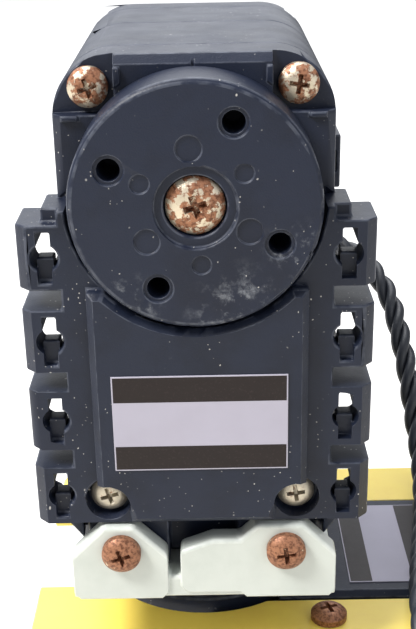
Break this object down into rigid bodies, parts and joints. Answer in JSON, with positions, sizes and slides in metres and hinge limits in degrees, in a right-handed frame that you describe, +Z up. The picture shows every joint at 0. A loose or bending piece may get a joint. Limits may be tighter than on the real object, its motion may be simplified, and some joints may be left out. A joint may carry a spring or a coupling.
{
  "type": "pan tilt camera mount",
  "caption": "Pan and tilt mount: an upright servo unit with a round output horn in a white foot bracket, turned by a second unit lying under a yellow plate, with a twisted lead.",
  "frame": {"origin": "where the pan axis meets the pan unit's flat back face, on which the mount rests", "axes": "+Z up along the pan axis; the tilt horn faces -Y; the pan unit's long side lies towards +X"},
  "size_m": [0.0654, 0.0751, 0.0986],
  "materials": {
    "case_plastic": "matt moulded, fine texture",
    "label": "plain printed bands",
    "plated_screw": "plating rusted to copper brown",
    "plated_nut": "dull zinc",
    "white_bracket": "moulded, slightly green white",
    "black_riser": "matt moulded",
    "yellow_plate": "satin",
    "black_wire": "matt sleeve",
    "connector": "moulded",
    "bronze_bushing": "turned",
    "gear_metal": "cut teeth",
    "gear_plastic": "moulded teeth",
    "steel_pin": "ground",
    "motor_can": "drawn can",
    "sensor_body": "moulded",
    "circuit_board": "solder mask"
  },
  "bodies": {
    "base": {"pan_front_cover": "case_plastic", "pan_front_case": "case_plastic", "pan_rear_case": "case_plastic", "pan_rear_cover": "case_plastic", "pan_output_bushing": "bronze_bushing", "pan_middle_shaft": "steel_pin", "pan_first_shaft": "steel_pin", "pan_motor": "motor_can", "pan_angle_sensor": "sensor_body", "pan_circuit_board": "circuit_board", "pan_sockets": "connector", "pan_front_screws": "plated_screw", "pan_rear_screws": "plated_screw", "pan_label": "label", "base_plate": "yellow_plate", "plate_screws": "plated_screw", "plate_nuts": "plated_nut", "lead_lower": "black_wire", "loose_plug": "connector"},
    "pan_head": {"pan_horn": "case_plastic", "pan_horn_screw": "plated_screw", "pan_output_gear": "gear_plastic", "riser": "black_riser", "riser_screws": "plated_screw", "foot_bracket": "white_bracket", "foot_screws": "plated_screw", "foot_nuts": "plated_nut", "tilt_front_cover": "case_plastic", "tilt_front_case": "case_plastic", "tilt_rear_case": "case_plastic", "tilt_rear_cover": "case_plastic", "tilt_output_bushing": "bronze_bushing", "tilt_middle_shaft": "steel_pin", "tilt_first_shaft": "steel_pin", "tilt_motor": "motor_can", "tilt_angle_sensor": "sensor_body", "tilt_circuit_board": "circuit_board", "tilt_sockets": "connector", "tilt_front_screws": "plated_screw", "tilt_rear_screws": "plated_screw", "tilt_label": "label", "tilt_plug": "connector", "lead_upper": "black_wire"},
    "tilt_output": {"tilt_horn": "case_plastic", "tilt_horn_screw": "plated_screw", "tilt_output_gear": "gear_plastic"},
    "pan_middle_gear_body": {"pan_middle_gear": "gear_plastic"},
    "pan_first_gear_body": {"pan_first_gear": "gear_metal"},
    "pan_motor_pinion_body": {"pan_motor_pinion": "gear_metal"},
    "tilt_middle_gear_body": {"tilt_middle_gear": "gear_plastic"},
    "tilt_first_gear_body": {"tilt_first_gear": "gear_metal"},
    "tilt_motor_pinion_body": {"tilt_motor_pinion": "gear_metal"}
  },
  "joints": [
    {"name": "pan", "type": "hinge", "parent": "base", "child": "pan_head", "pos_m": [0, 0, 0.04], "axis": [0, 0, 1], "range_deg": [-150, 150]},
    {"name": "tilt", "type": "hinge", "parent": "pan_head", "child": "tilt_output", "pos_m": [0, -0.02, 0.0866], "axis": [0, -1, 0], "range_deg": [-150, 150]},
    {"name": "pan_middle_gear_turn", "type": "hinge", "parent": "base", "child": "pan_middle_gear_body", "pos_m": [0.01188, 0, 0.036], "axis": [0, 0, 1], "range_deg": [-955, 955]},
    {"name": "pan_first_gear_turn", "type": "hinge", "parent": "base", "child": "pan_first_gear_body", "pos_m": [0.02211, 0.0026, 0.036], "axis": [0, 0, 1], "range_deg": [-6022, 6022]},
    {"name": "pan_motor_pinion_turn", "type": "hinge", "parent": "base", "child": "pan_motor_pinion_body", "pos_m": [0.02826, -0.0043, 0.036], "axis": [0, 0, 1], "range_deg": [-38111, 38111]},
    {"name": "tilt_middle_gear_turn", "type": "hinge", "parent": "pan_head", "child": "tilt_middle_gear_body", "pos_m": [0, -0.019, 0.07472], "axis": [0, -1, 0], "range_deg": [-955, 955]},
    {"name": "tilt_first_gear_turn", "type": "hinge", "parent": "pan_head", "child": "tilt_first_gear_body", "pos_m": [0.0026, -0.019, 0.06449], "axis": [0, -1, 0], "range_deg": [-6022, 6022]},
    {"name": "tilt_motor_pinion_turn", "type": "hinge", "parent": "pan_head", "child": "tilt_motor_pinion_body", "pos_m": [-0.0043, -0.019, 0.05834], "axis": [0, -1, 0], "range_deg": [-38111, 38111]}
  ],
  "couplings": [
    {"joint": "pan_middle_gear_turn", "follows": "pan", "ratio": -6.3333},
    {"joint": "pan_first_gear_turn", "follows": "pan", "ratio": 40.111},
    {"joint": "pan_motor_pinion_turn", "follows": "pan", "ratio": -254.04},
    {"joint": "tilt_middle_gear_turn", "follows": "tilt", "ratio": -6.3333},
    {"joint": "tilt_first_gear_turn", "follows": "tilt", "ratio": 40.111},
    {"joint": "tilt_motor_pinion_turn", "follows": "tilt", "ratio": -254.04}
  ]
}
